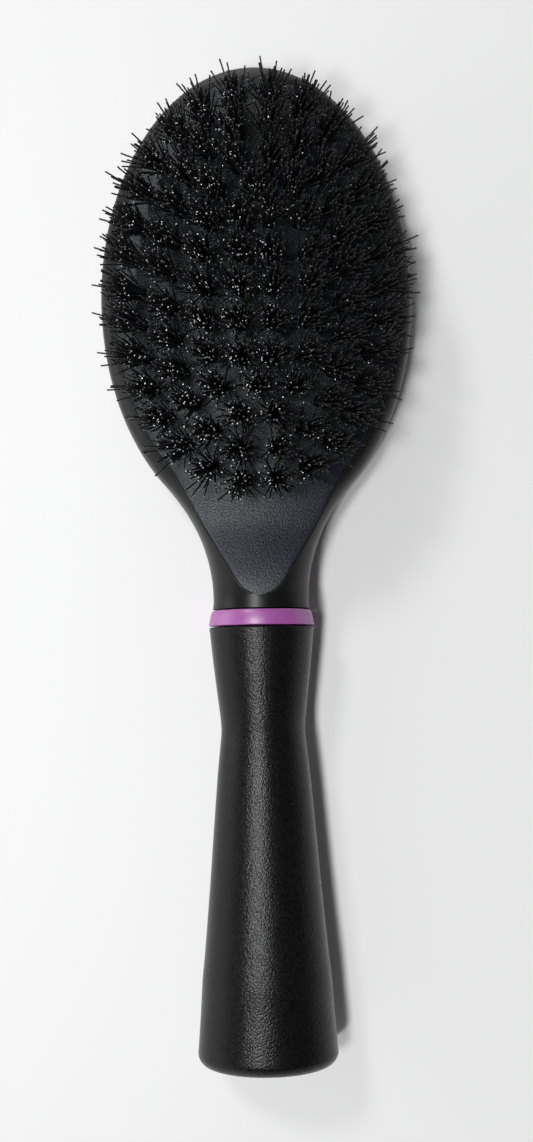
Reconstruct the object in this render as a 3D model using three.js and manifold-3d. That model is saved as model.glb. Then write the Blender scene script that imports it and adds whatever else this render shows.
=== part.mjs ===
// Bristle brush: an oval tufted head on a round neck, a coloured collar and a soft waisted grip.
// Millimetres. The brush lies on its back: +Z is the way the bristles point, +Y runs from the
// handle's end to the toe of the head, and the origin is the middle of the footprint, on the floor.

import * as THREE from 'three';
import { mergeVertices } from 'three/addons/utils/BufferGeometryUtils.js';
import Module from 'manifold-3d';

const wasm = await Module();
wasm.setup();

// ---------------------------------------------------------------- driving dimensions

const LENGTH = 225;                // handle end to toe
const TOE_Y = LENGTH / 2;
const END_Y = -LENGTH / 2;
const GAP = 0.3;                   // clearance between neighbouring pieces

// head outline: an ellipse that runs into the neck
const HEAD_HALF_WIDTH = 35;
const HEAD_HALF_LENGTH = 52.4;
const HEAD_Y = TOE_Y - HEAD_HALF_LENGTH;
const HEEL_Y = 18.3;               // here the outline leaves the ellipse for the neck
const NECK_Y = -7.5;               // narrowest place of the neck
const NECK_HALF_WIDTH = 10.6;
const NECK_END_Y = -9.6;

// heights
const HEAD_EDGE_Z = 6.5;           // widest line round the head
const NECK_AXIS_Z = 11;
const HEAD_BACK_DEPTH = HEAD_EDGE_Z;
const NECK_BACK_DEPTH = 9.7;
const NECK_TOP_RISE = 10;
const BLEND_START_Y = -6.5;        // neck section below, head section above BLEND_END_Y
const BLEND_END_Y = 28.5;
const RIM_POWER = 4;               // squareness of the head's upper half
const BACK_POWER = 2.8;            // squareness of the head's back

// face plate
const FACE_HALF_WIDTH = 31.4;
const FACE_HALF_LENGTH = 48.7;
const FACE_HEEL_Y = 20.5;          // here its outline leaves the ellipse for the V
const FACE_TIP_Y = -6.4;
const FACE_V = [[12.8, 10.2], [9.5, 4.5], [6.6, -0.2], [4.4, -3.8], [2.5, -5.4]];
const FACE_MID_Z = 16.4;
const FACE_CANT = 0.075;           // the face falls towards the toe
const FACE_BEND_RADIUS = 900;      // along the head
const FACE_CROWN_RADIUS = 120;     // across the head
const SCOOP_TOP_Y = -4.5;
const SCOOP_FOOT_Y = 10.5;
const SCOOP_TOP_Z = 20.9;
const PLATE_THICKNESS = 4.6;

// inside of the head
const SHELL_WALL = 2.2;
const CAVITY_SCALE = 0.88;
const PEG_SITES = [[12, 34.5], [-12, 34.5], [13, 88.5], [-13, 88.5]];
const PEG_RADIUS = 2;
const PEG_DEPTH = 3;
const BOSS_RADIUS = 3.8;
const BOSS_DROP = 1.3;             // below the underside of the plate, which slopes

// tufts
const TUFT_RINGS = [
  { count: 12, halfWidth: 3.4, halfLength: 21.4, power: 3, phase: 0 },
  { count: 18, halfWidth: 10.8, halfLength: 28.3, power: 2.4, phase: 0.5 },
  { count: 24, halfWidth: 18.2, halfLength: 35.2, power: 2.2, phase: 0.5 },
  { count: 30, halfWidth: 25.6, halfLength: 42.0, power: 2.05, phase: 0.5 },
];
const TUFT_FIELD_Y = 60.5;
const TUFT_FREE_LENGTH = 15.5;
const TUFT_SET_DEPTH = 3.2;
const TUFT_STEM_RADIUS = 1.1;
const TUFT_TIP_RADIUS = 3.1;
const TUFT_SIDES = 6;
const HOLE_RADIUS = 1.55;
const HOLE_DEPTH = 3.6;
const SIDE_LEAN_PER_MM = THREE.MathUtils.degToRad(0.58);  // outwards from the middle line
const HANDLE_LEAN = THREE.MathUtils.degToRad(6.5);        // at HEAD_Y, less towards the toe
const HANDLE_LEAN_PER_MM = THREE.MathUtils.degToRad(-0.03);
const TIP_LINK_HALF_WIDTH = 1.4;
const TIP_LINK_TOP = 1.2;          // below the tips
const TIP_LINK_HEIGHT = 1.8;

// collar and handle; their sections lean, with the upper side nearer the toe
const COLLAR_SLANT = 0.084;
const END_SLANT = 0.16;
const SLANT_FADE = 3;              // length of neck over which the slant fades out
const COLLAR_FRONT = { y: NECK_END_Y - GAP, halfWidth: 11.0, halfHeight: 10.1 };
const COLLAR_BACK = { y: -13.3, halfWidth: 11.75, halfHeight: 10.6 };
const GRIP_START_Y = COLLAR_BACK.y - GAP;
const GRIP_STATIONS = [            // y, half width, half height, height of the underside
  [GRIP_START_Y, 11.65, 10.5, 0.5],
  [-21.5, 10.9, 9.8, 1.1],
  [-29.5, 10.0, 9.0, 1.8],
  [-34.5, 9.45, 8.7, 2.0],
  [-37, 9.37, 8.6, 2.0],
  [-39.5, 9.6, 8.7, 1.95],
  [-45.5, 10.25, 9.0, 1.8],
  [-54.5, 11.05, 9.5, 1.4],
  [-69.5, 12.3, 10.5, 0.5],
  [-85.5, 13.75, 11.6, -0.3],
  [-91.5, 14.4, 12.0, -0.6],
  [-97.5, 14.8, 12.2, -0.8],
  [-107.5, 15.55, 12.6, -0.9],
];
const GRIP_SECTIONS = [-19.5, -25.5, -31, -34.5, -37, -39.5, -45, -52, -61.5, -73.5, -85.5, -97.5];
const GRIP_END_TURNS = [0, 25, 50, 70, 90];
const END_RADIUS = 2.8;
const END_CROWN = 1.5;
const END_CROWN_RING = 0.5;        // where the domed end has a ring of points, 0 middle to 1 edge
const SLEEVE_WALL = 2.2;
const CORE_END_Y = END_Y + SLEEVE_WALL + GAP;
const TANG_ROOT = { y: -8.1, halfWidth: 6.4, halfHeight: 5.6 };
const TANG_TIP = { y: -45.5, halfWidth: 4.3, halfHeight: 3.7 };
const BORE_END_Y = -100;

const QUARTER_STEPS = 7;           // points on a quarter of a head section
const RING_STEPS = 24;             // points round a grip, collar or tang section

// ---------------------------------------------------------------- small maths

const lerp = THREE.MathUtils.lerp;
const clamp01 = (t) => THREE.MathUtils.clamp(t, 0, 1);
const smooth = (t) => clamp01(t) ** 2 * (3 - 2 * clamp01(t));
const hypotenuse = (t) => Math.sqrt(Math.max(0, 1 - t * t));

// smooth interpolation through rows of [key, value, value, ...] with rising or falling keys
function alongRows(rows, key) {
  const falling = rows[0][0] > rows[rows.length - 1][0];
  const reached = (row) => (falling ? key <= row[0] : key >= row[0]);
  let i = 0;
  while (i < rows.length - 2 && reached(rows[i + 1])) i += 1;
  const [a, b] = [rows[i], rows[i + 1]];
  const before = rows[Math.max(0, i - 1)];
  const after = rows[Math.min(rows.length - 1, i + 2)];
  const span = b[0] - a[0];
  const t = (key - a[0]) / span;
  const slope = (from, to, column) => (to[column] - from[column]) / (to[0] - from[0]);
  return a.slice(1).map((_, k) => {
    const column = k + 1;
    const startSlope = slope(before, b, column) * span;
    const endSlope = slope(a, after, column) * span;
    const rise = b[column] - a[column];
    const cubic = startSlope + endSlope - 2 * rise;
    const square = 3 * rise - 2 * startSlope - endSlope;
    return a[column] + t * (startSlope + t * (square + t * cubic));
  });
}

// ---------------------------------------------------------------- outlines and heights

// half width of the head and neck seen from above
function headHalfWidth(y) {
  if (y >= HEEL_Y) return HEAD_HALF_WIDTH * hypotenuse((y - HEAD_Y) / HEAD_HALF_LENGTH);
  if (y <= NECK_Y) return NECK_HALF_WIDTH + 0.05 * (NECK_Y - y) ** 2;
  const span = HEEL_Y - NECK_Y;
  const t = (y - NECK_Y) / span;
  const along = (HEAD_Y - HEEL_Y) / HEAD_HALF_LENGTH;
  const heelWidth = HEAD_HALF_WIDTH * hypotenuse(along);
  const heelSlope = (HEAD_HALF_WIDTH / HEAD_HALF_LENGTH) * (along / hypotenuse(along));
  const share = smooth(t);
  return lerp(NECK_HALF_WIDTH, heelWidth, share) + heelSlope * span * (t ** 3 - t ** 2);
}

// right-hand edge of the face plate, from the toe to the tip of the V, as [x, y]
function faceEdge(steps) {
  const startAngle = Math.PI / 2;
  const endAngle = Math.asin((FACE_HEEL_Y - HEAD_Y) / FACE_HALF_LENGTH);
  const points = [];
  for (let i = 0; i <= steps; i += 1) {
    const angle = lerp(startAngle, endAngle, i / steps);
    points.push([FACE_HALF_WIDTH * Math.cos(angle), HEAD_Y + FACE_HALF_LENGTH * Math.sin(angle)]);
  }
  return points.concat(FACE_V, [[0, FACE_TIP_Y]]);
}

function faceHalfWidth(y) {
  if (y >= FACE_HEEL_Y) return FACE_HALF_WIDTH * hypotenuse((y - HEAD_Y) / FACE_HALF_LENGTH);
  const rows = [
    [FACE_HEEL_Y, faceHalfWidth(FACE_HEEL_Y)],
    ...FACE_V.map(([x, rowY]) => [rowY, x]),
    [FACE_TIP_Y, 0],
  ];
  return Math.max(0, alongRows(rows, Math.max(y, FACE_TIP_Y))[0]);
}

// height of the tufted field: crowned across and along, and falling to the toe
function fieldHeight(x, y) {
  const out = y - HEAD_Y;
  const middle = FACE_MID_Z - FACE_CANT * out - out ** 2 / (2 * FACE_BEND_RADIUS);
  return middle - x ** 2 / (2 * FACE_CROWN_RADIUS);
}

// height of the face: the tufted field, scooped up to the neck
function faceHeight(x, y) {
  const scoop = smooth((SCOOP_FOOT_Y - y) / (SCOOP_FOOT_Y - SCOOP_TOP_Y));
  const neckTop = SCOOP_TOP_Z - x ** 2 / (2 * FACE_CROWN_RADIUS);
  return lerp(fieldHeight(x, Math.max(y, SCOOP_FOOT_Y)), neckTop, scoop);
}

const neckToHead = (y) => smooth((y - BLEND_START_Y) / (BLEND_END_Y - BLEND_START_Y));
const edgeHeight = (y) => lerp(NECK_AXIS_Z, HEAD_EDGE_Z, neckToHead(y));
const pillow = (ratio, power) => Math.max(0, 1 - ratio ** power) ** (1 / power);

// how far out a point lies: 0 on the middle line, 1 on the outline
function outRatio(across, y) {
  const along = Math.max(0, (y - HEAD_Y) / HEAD_HALF_LENGTH);
  return Math.min(1, Math.hypot(along, across * hypotenuse(along)));
}

// rise of the upper half, set so that the shell meets the face plate flush at the plate's edge
function topRise(y) {
  const edgeY = Math.min(y, HEAD_Y + FACE_HALF_LENGTH);
  if (edgeY <= FACE_TIP_Y) return NECK_TOP_RISE;
  const x = faceHalfWidth(edgeY);
  const ratio = outRatio(x / headHalfWidth(edgeY), edgeY);
  const power = lerp(2, RIM_POWER, neckToHead(edgeY));
  return (faceHeight(x, edgeY) - edgeHeight(edgeY)) / pillow(ratio, power);
}

function backHeight(across, y) {
  const share = neckToHead(y);
  const depth = lerp(NECK_BACK_DEPTH, HEAD_BACK_DEPTH, share);
  return edgeHeight(y) - depth * pillow(outRatio(across, y), lerp(2, BACK_POWER, share));
}

// ---------------------------------------------------------------- solids

function solid(vertices, triangles) {
  let volume = 0;
  for (const [a, b, c] of triangles) {
    const [p, q, r] = [vertices[a], vertices[b], vertices[c]];
    volume += p[0] * (q[1] * r[2] - q[2] * r[1]);
    volume += p[1] * (q[2] * r[0] - q[0] * r[2]);
    volume += p[2] * (q[0] * r[1] - q[1] * r[0]);
  }
  const outward = volume > 0 ? triangles : triangles.map(([a, b, c]) => [a, c, b]);
  const mesh = new wasm.Mesh({
    numProp: 3,
    vertProperties: new Float32Array(vertices.flat()),
    triVerts: new Uint32Array(outward.flat()),
  });
  return new wasm.Manifold(mesh);
}

// skin over equal rings of points, closed at each end by a fan to a pole
function loft(rings, startPole, endPole) {
  const count = rings[0].length;
  const vertices = rings.flat().concat([startPole, endPole]);
  const start = vertices.length - 2;
  const end = vertices.length - 1;
  const last = (rings.length - 1) * count;
  const triangles = [];
  for (let i = 0; i < count; i += 1) {
    const next = (i + 1) % count;
    for (let k = 0; k < rings.length - 1; k += 1) {
      const low = k * count;
      const high = low + count;
      triangles.push([low + i, low + next, high + next], [low + i, high + next, high + i]);
    }
    triangles.push([start, next, i], [end, last + i, last + next]);
  }
  return solid(vertices, triangles);
}

// body between two height fields over an outline that its centre can see all round
function slab(outline, centre, shares, topAt, bottomAt) {
  const layer = (heightAt) => shares.map((share) => outline.map(([px, py]) => {
    const x = lerp(centre[0], px, share);
    const y = lerp(centre[1], py, share);
    return [x, y, heightAt(x, y)];
  }));
  const rings = [...layer(topAt), ...layer(bottomAt).reverse()];
  return loft(rings, [...centre, topAt(...centre)], [...centre, bottomAt(...centre)]);
}

// oval section, cut off flat at the floor; a slant leans its upper side towards the toe
const ovalRing = ([y, halfWidth, halfHeight, axisZ, slant = 0]) => (
  Array.from({ length: RING_STEPS }, (_, i) => {
    const angle = (i / RING_STEPS) * Math.PI * 2;
    const rise = Math.max(-axisZ, halfHeight * Math.sin(angle));
    return [halfWidth * Math.cos(angle), y + slant * rise, axisZ + rise];
  })
);

// oval bar through rows of [y, half width, half height, axis height, slant]
function ovalBar(rows) {
  const first = rows[0];
  const last = rows[rows.length - 1];
  return loft(rows.map(ovalRing), [0, first[0], first[3]], [0, last[0], last[3]]);
}

// straight round bar from one point along a direction, with a radius at each [distance, radius] row
function bar(from, direction, rows, sides) {
  const side = new THREE.Vector3(0, 1, 0).cross(direction).normalize();
  const other = direction.clone().cross(side);
  const at = (distance) => from.clone().addScaledVector(direction, distance);
  const rings = rows.map(([distance, radius]) => Array.from({ length: sides }, (_, i) => {
    const angle = (i / sides) * Math.PI * 2;
    const point = at(distance);
    point.addScaledVector(side, radius * Math.cos(angle));
    return point.addScaledVector(other, radius * Math.sin(angle)).toArray();
  }));
  return loft(rings, at(rows[0][0]).toArray(), at(rows[rows.length - 1][0]).toArray());
}

function bothSides(rightEdge) {
  const left = rightEdge.slice(1, -1).reverse().map(([x, y]) => [-x, y]);
  return rightEdge.concat(left);
}

// outline moved outwards by a distance, along the bisector at each point
function grown(outline, distance) {
  const count = outline.length;
  return outline.map(([x, y], i) => {
    const [ax, ay] = outline[(i + count - 1) % count];
    const [bx, by] = outline[(i + 1) % count];
    const length = Math.hypot(bx - ax, by - ay);
    return [x - ((by - ay) / length) * distance, y + ((bx - ax) / length) * distance];
  });
}

// ---------------------------------------------------------------- head

const FACE_OUTLINE = bothSides(faceEdge(16));
const FACE_CENTRE = [0, 53.5];
const FACE_SHARES = [0.36, 0.7, 1];  // where the plate has rings of points, 0 centre to 1 edge
const UP = new THREE.Vector3(0, 0, 1);

// one closed section of the head and neck, starting at its right-hand edge
function headSection(y) {
  const halfWidth = headHalfWidth(y);
  const edgeZ = edgeHeight(y);
  const share = neckToHead(y);
  const rise = topRise(y);
  const upper = (across) => edgeZ + rise * pillow(outRatio(across, y), lerp(2, RIM_POWER, share));
  const lower = (across) => backHeight(across, y);
  const crowding = lerp(1, 1.9, share);
  const slant = COLLAR_SLANT * (1 - smooth((y - NECK_END_Y) / SLANT_FADE));
  const ring = [];
  for (let i = 0; i < 4 * QUARTER_STEPS; i += 1) {
    const quarter = Math.floor(i / QUARTER_STEPS);
    const step = (i % QUARTER_STEPS) / QUARTER_STEPS;
    const fromEdge = quarter % 2 === 0 ? step : 1 - step;
    const across = Math.cos((Math.PI / 2) * fromEdge ** crowding);
    const side = quarter === 1 || quarter === 2 ? -1 : 1;
    const away = quarter < 2 ? upper(across) : lower(across);
    const height = fromEdge === 0 ? edgeZ : away;
    ring.push([side * across * halfWidth, y + slant * (height - edgeZ), height]);
  }
  return ring;
}

function headOuter() {
  const neckStations = [NECK_END_Y, -5.5, -1.5, 2, 5.5, 9, 12.5, 16.5, 20.5, 25.5, 31.5, 39.5, 49.5];
  const toeAngles = [0, 14, 28, 41, 53, 63, 71, 77.5, 82.5, 86.5];
  const toeStations = toeAngles.map((angle) => (
    HEAD_Y + HEAD_HALF_LENGTH * Math.sin(THREE.MathUtils.degToRad(angle))
  ));
  const stations = neckStations.concat(toeStations);
  return loft(stations.map(headSection), [0, NECK_END_Y, NECK_AXIS_Z], [0, TOE_Y, HEAD_EDGE_Z]);
}

function tang() {
  const root = [TANG_ROOT.y, TANG_ROOT.halfWidth, TANG_ROOT.halfHeight, NECK_AXIS_Z];
  const tip = [TANG_TIP.y, TANG_TIP.halfWidth, TANG_TIP.halfHeight, NECK_AXIS_Z];
  return ovalBar([root, tip]);
}

const plateUnderside = (x, y) => fieldHeight(x, y) - PLATE_THICKNESS;
const pocketFloor = (x, y) => plateUnderside(x, y) - GAP;
const cavityFloor = (x, y) => backHeight(Math.min(1, Math.abs(x) / headHalfWidth(y)), y) + SHELL_WALL;

function facePocket() {
  return slab(grown(FACE_OUTLINE, GAP), FACE_CENTRE, FACE_SHARES, () => 40, pocketFloor);
}

// hollow under the plate's pocket, between the pocket's floor and the head's back wall
function headCavity() {
  const outline = FACE_OUTLINE.map(([x, y]) => (
    [x * CAVITY_SCALE, lerp(FACE_CENTRE[1], y, CAVITY_SCALE)]
  ));
  return slab(outline, FACE_CENTRE, FACE_SHARES, (x, y) => pocketFloor(x, y) + 1, cavityFloor);
}

// post on the head's back wall with a blind hole for a peg
function boss([x, y]) {
  const top = plateUnderside(x, y) - BOSS_DROP;
  const floor = cavityFloor(x, y) - 1;
  const wall = bar(new THREE.Vector3(x, y, floor), UP, [[0, BOSS_RADIUS], [top - floor, BOSS_RADIUS]], 12);
  const hole = [[-PEG_DEPTH - GAP, PEG_RADIUS + GAP], [1, PEG_RADIUS + GAP]];
  return wall.subtract(bar(new THREE.Vector3(x, y, top), UP, hole, 10));
}

function headShell() {
  const shell = headOuter().add(tang()).subtract(facePocket()).subtract(headCavity());
  return PEG_SITES.reduce((body, site) => body.add(boss(site)), shell);
}

function peg([x, y]) {
  const under = plateUnderside(x, y);
  const length = PEG_DEPTH + BOSS_DROP;
  return bar(new THREE.Vector3(x, y, under), UP, [[-length, PEG_RADIUS], [1, PEG_RADIUS]], 10);
}

function facePlate(tufts) {
  const plate = slab(FACE_OUTLINE, FACE_CENTRE, FACE_SHARES, faceHeight, plateUnderside);
  const pegged = PEG_SITES.reduce((body, site) => body.add(peg(site)), plate);
  const hole = ({ root, direction }) => (
    bar(root, direction, [[-HOLE_DEPTH, HOLE_RADIUS], [2, HOLE_RADIUS]], TUFT_SIDES)
  );
  return tufts.reduce((body, tuft) => body.subtract(hole(tuft)), pegged);
}

// ---------------------------------------------------------------- tufts

// equally spaced places on an oval ring, clockwise from the toe
function ringPlaces({ count, halfWidth, halfLength, power, phase }) {
  const steps = 720;
  const curve = [];
  for (let i = 0; i <= steps; i += 1) {
    const angle = (i / steps) * Math.PI * 2;
    const [s, c] = [Math.sin(angle), Math.cos(angle)];
    const x = halfWidth * Math.sign(s) * Math.abs(s) ** (2 / power);
    const y = halfLength * Math.sign(c) * Math.abs(c) ** (2 / power);
    curve.push(new THREE.Vector2(x, TUFT_FIELD_Y + y));
  }
  const lengths = [0];
  for (let i = 1; i <= steps; i += 1) lengths.push(lengths[i - 1] + curve[i].distanceTo(curve[i - 1]));
  return Array.from({ length: count }, (_, k) => {
    const target = ((k + phase) / count) * lengths[steps];
    const i = Math.max(1, lengths.findIndex((length) => length >= target));
    const t = (target - lengths[i - 1]) / (lengths[i] - lengths[i - 1]);
    return curve[i - 1].clone().lerp(curve[i], t);
  });
}

function makeTuft(place) {
  const root = new THREE.Vector3(place.x, place.y, faceHeight(place.x, place.y));
  const sideLean = place.x * SIDE_LEAN_PER_MM;
  const handleLean = HANDLE_LEAN + (place.y - HEAD_Y) * HANDLE_LEAN_PER_MM;
  const direction = new THREE.Vector3(Math.tan(sideLean), -Math.tan(handleLean), 1).normalize();
  return { root, direction };
}

function tuftBody({ root, direction }) {
  const rows = [
    [-TUFT_SET_DEPTH, TUFT_STEM_RADIUS],
    [0.6, TUFT_STEM_RADIUS],
    [TUFT_FREE_LENGTH, TUFT_TIP_RADIUS],
  ];
  return bar(root, direction, rows, TUFT_SIDES);
}

// the crossing outer bristles that join two neighbouring tufts just below their tips
function tipLink(first, second) {
  const depth = TUFT_FREE_LENGTH - TIP_LINK_TOP - TIP_LINK_HEIGHT / 2;
  const from = first.root.clone().addScaledVector(first.direction, depth);
  const to = second.root.clone().addScaledVector(second.direction, depth);
  const along = to.clone().sub(from);
  const up = first.direction.clone().add(second.direction).normalize();
  const side = along.clone().cross(up).setLength(TIP_LINK_HALF_WIDTH);
  const rise = up.multiplyScalar(TIP_LINK_HEIGHT / 2);
  const corners = [[1, 1], [-1, 1], [-1, -1], [1, -1]];
  const rings = [from, to].map((centre) => corners.map(([s, r]) => (
    centre.clone().addScaledVector(side, s).addScaledVector(rise, r).toArray()
  )));
  return loft(rings, from.toArray(), to.toArray());
}

// ---------------------------------------------------------------- collar and handle

function collarRing() {
  const outer = [COLLAR_FRONT, COLLAR_BACK].map(({ y, halfWidth, halfHeight }) => (
    [y, halfWidth, halfHeight, NECK_AXIS_Z, COLLAR_SLANT]
  ));
  const bore = [TANG_ROOT.halfWidth + GAP, TANG_ROOT.halfHeight + GAP, NECK_AXIS_Z];
  const cutter = ovalBar([[COLLAR_FRONT.y + 2, ...bore], [COLLAR_BACK.y - 2, ...bore]]);
  return ovalBar(outer).subtract(cutter);
}

// half width, half height, axis height and slant of the grip's section, shrunk by an inset
function gripSection(y, inset) {
  const [halfWidth, halfHeight, underside] = alongRows(GRIP_STATIONS, y);
  const slant = lerp(COLLAR_SLANT, END_SLANT, (GRIP_START_Y - y) / (GRIP_START_Y - END_Y));
  return [halfWidth - inset, halfHeight - inset, underside + halfHeight, slant];
}

// the grip's outer shape shrunk by an inset; its domed end leans, so the lowest point of the
// dome, which touches endY, is tiltReach beyond the dome's middle
function gripSolid(inset, endY) {
  const rows = [GRIP_START_Y, ...GRIP_SECTIONS].map((y) => [y, ...gripSection(y, inset)]);
  const radius = END_RADIUS - inset;
  const nearEnd = gripSection(endY + END_CROWN + radius, inset + radius);
  const [flatWidth, flatHeight, axisZ, slant] = nearEnd;
  const tiltReach = (slant * flatHeight) ** 2 / (4 * END_CROWN);
  const capY = endY + tiltReach + END_CROWN;
  for (const angle of GRIP_END_TURNS) {
    const turn = THREE.MathUtils.degToRad(angle);
    const out = radius * Math.cos(turn);
    rows.push([capY + radius * (1 - Math.sin(turn)), flatWidth + out, flatHeight + out, axisZ, slant]);
  }
  const dome = END_CROWN * (1 - END_CROWN_RING ** 2);
  rows.push([capY - dome, flatWidth * END_CROWN_RING, flatHeight * END_CROWN_RING, axisZ, slant]);
  const first = rows[0];
  return loft(rows.map(ovalRing), [0, first[0], first[3]], [0, capY - END_CROWN, axisZ]);
}

// the outer shape less a hollow for the core, which is open towards the collar
function gripSleeve() {
  const mouth = gripSection(GRIP_START_Y, SLEEVE_WALL);
  const entry = ovalBar([[GRIP_START_Y + 2, ...mouth], [GRIP_START_Y - 0.01, ...mouth]]);
  const hollow = gripSolid(SLEEVE_WALL, CORE_END_Y - GAP);
  return gripSolid(0, END_Y).subtract(hollow.add(entry));
}

// fills the sleeve's hollow; its bore takes the tang, then runs on to keep the wall even
function handleCore() {
  const tangAt = (t) => [
    lerp(TANG_ROOT.halfWidth, TANG_TIP.halfWidth, t) + GAP,
    lerp(TANG_ROOT.halfHeight, TANG_TIP.halfHeight, t) + GAP,
  ];
  const bore = ovalBar([
    [TANG_ROOT.y, ...tangAt(0), NECK_AXIS_Z],
    [TANG_TIP.y - 1, ...tangAt(1), NECK_AXIS_Z],
    [BORE_END_Y, ...tangAt(1), NECK_AXIS_Z],
  ]);
  return gripSolid(SLEEVE_WALL + GAP, CORE_END_Y).subtract(bore);
}

// ---------------------------------------------------------------- assembly

const materials = {
  shell: new THREE.MeshStandardMaterial({ color: 0x1b1b1d, roughness: 0.38, metalness: 0 }),
  face: new THREE.MeshStandardMaterial({ color: 0x2c2d33, roughness: 0.6, metalness: 0 }),
  bristle: new THREE.MeshStandardMaterial({ color: 0x0c0c0d, roughness: 0.25, metalness: 0 }),
  collar: new THREE.MeshStandardMaterial({ color: 0x9c4fa6, roughness: 0.35, metalness: 0 }),
  core: new THREE.MeshStandardMaterial({ color: 0x26262a, roughness: 0.5, metalness: 0 }),
  grip: new THREE.MeshStandardMaterial({ color: 0x151516, roughness: 0.55, metalness: 0 }),
};

const brush = new THREE.Group();

function place(name, body, material) {
  const mesh = body.getMesh();
  const raw = new THREE.BufferGeometry();
  raw.setAttribute('position', new THREE.BufferAttribute(mesh.vertProperties, mesh.numProp));
  raw.setIndex(new THREE.BufferAttribute(mesh.triVerts, 1));
  const geometry = mergeVertices(raw, 1e-4);
  geometry.computeVertexNormals();
  const piece = new THREE.Mesh(geometry, material);
  piece.name = name;
  brush.add(piece);
}

const rings = TUFT_RINGS.map((ring) => ringPlaces(ring).map(makeTuft));

place('head_shell', headShell(), materials.shell);
place('face_plate', facePlate(rings.flat()), materials.face);
place('collar_ring', collarRing(), materials.collar);
place('handle_core', handleCore(), materials.core);
place('grip_sleeve', gripSleeve(), materials.grip);

const numbered = (index) => String(index + 1).padStart(2, '0');

rings[0].forEach((tuft, i) => {
  place(`tuft_centre_${numbered(i)}`, tuftBody(tuft), materials.bristle);
});

['inner', 'middle', 'outer'].forEach((ringName, k) => {
  const ring = rings[k + 1];
  for (let i = 0; i < ring.length; i += 2) {
    const pair = tuftBody(ring[i]).add(tuftBody(ring[i + 1])).add(tipLink(ring[i], ring[i + 1]));
    place(`tuft_pair_${ringName}_${numbered(i / 2)}`, pair, materials.bristle);
  }
});

export default brush;
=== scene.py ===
"""Bristle brush: the looks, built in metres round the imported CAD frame.

The brush lies on its back on a pale floor. +Z is the way the bristles point, +Y runs from the
handle's end to the toe of the head. Shapes are worked out in millimetres by the same formulas
as the CAD pieces, and meshes are written in metres. Heights are over the floor.
"""

import math

import bpy
import numpy as np
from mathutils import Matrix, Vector


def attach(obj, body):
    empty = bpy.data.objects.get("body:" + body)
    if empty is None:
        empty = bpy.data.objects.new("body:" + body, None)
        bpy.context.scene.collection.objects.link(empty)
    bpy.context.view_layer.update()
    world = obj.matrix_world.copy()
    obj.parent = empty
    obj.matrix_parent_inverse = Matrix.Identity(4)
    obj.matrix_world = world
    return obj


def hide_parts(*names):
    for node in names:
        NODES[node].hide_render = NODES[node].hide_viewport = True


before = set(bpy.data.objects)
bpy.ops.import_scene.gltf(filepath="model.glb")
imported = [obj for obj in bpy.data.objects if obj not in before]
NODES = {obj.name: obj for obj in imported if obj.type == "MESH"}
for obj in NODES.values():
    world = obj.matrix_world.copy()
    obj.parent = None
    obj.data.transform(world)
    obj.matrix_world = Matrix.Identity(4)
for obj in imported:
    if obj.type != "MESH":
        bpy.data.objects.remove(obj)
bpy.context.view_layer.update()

MM = 0.001
UP = (0.0, 0.0, 1.0)

# ---------------------------------------------------------------- driving dimensions, in mm

TOE_Y = 112.5
END_Y = -112.5
GAP = 0.3                       # between neighbouring pieces, where it doesn't show

HEAD_HALF_WIDTH = 35.0
HEAD_HALF_LENGTH = 52.4
HEAD_Y = TOE_Y - HEAD_HALF_LENGTH
HEEL_Y = 18.3
NECK_Y = -7.5
NECK_HALF_WIDTH = 10.6
NECK_FLARE = 0.05               # extra half width per mm squared below NECK_Y
NECK_END_Y = -9.6

HEAD_EDGE_Z = 6.5
NECK_AXIS_Z = 11.0
HEAD_BACK_DEPTH = HEAD_EDGE_Z   # so the head's back touches the floor
NECK_BACK_DEPTH = 9.7
NECK_TOP_RISE = 10.0
BLEND_START_Y = -6.5            # the neck's section turns into the head's from here ...
BLEND_END_Y = 28.5              # ... to here
ELLIPSE_POWER = 2.0             # the neck's section; higher powers are squarer
RIM_POWER = 4.0
BACK_POWER = 2.8

FACE_HALF_WIDTH = 31.4
FACE_HALF_LENGTH = 48.7
FACE_HEEL_Y = 20.5
FACE_TIP_Y = -6.4
FACE_V = [(12.8, 10.2), (9.5, 4.5), (6.6, -0.2), (4.4, -3.8), (2.5, -5.4)]  # half width, y
FACE_MID_Z = 16.4
FACE_CANT = 0.075               # the face falls this much per mm towards the toe
FACE_BEND_RADIUS = 900.0
FACE_CROWN_RADIUS = 120.0
FACE_CENTRE = (0.0, 53.5)
SCOOP_TOP_Y = -4.5              # the face sweeps up to the neck's top from the foot to here
SCOOP_FOOT_Y = 10.5
SCOOP_TOP_Z = 20.9
PLATE_THICKNESS = 4.6
PLATE_EDGE_RADIUS = 0.12
SEAM = 0.03                     # visible gap round the face plate
LIP_RADIUS = 0.22               # polished bead on the shell's edge round the face plate
LIP_OFFSET = 0.8                # of the bead's radius, outwards from the seam
LIP_RISE = 0.05

SHELL_WALL = 2.2
CAVITY_SCALE = 0.88
CUT_OVERLAP = 1.0               # how far a cut or a join runs into its neighbour
CUT_TOP_Z = 40.0                # well above the head
PEG_SITES = [(12, 34.5), (-12, 34.5), (13, 88.5), (-13, 88.5)]
PEG_RADIUS = 2.0
PEG_DEPTH = 3.0                 # of the peg in its boss
BOSS_RADIUS = 3.8
BOSS_DROP = 1.3                 # from the plate's underside to the boss
TOE_MARGIN = 0.05               # stops short of the toe, where a section has no width

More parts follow.
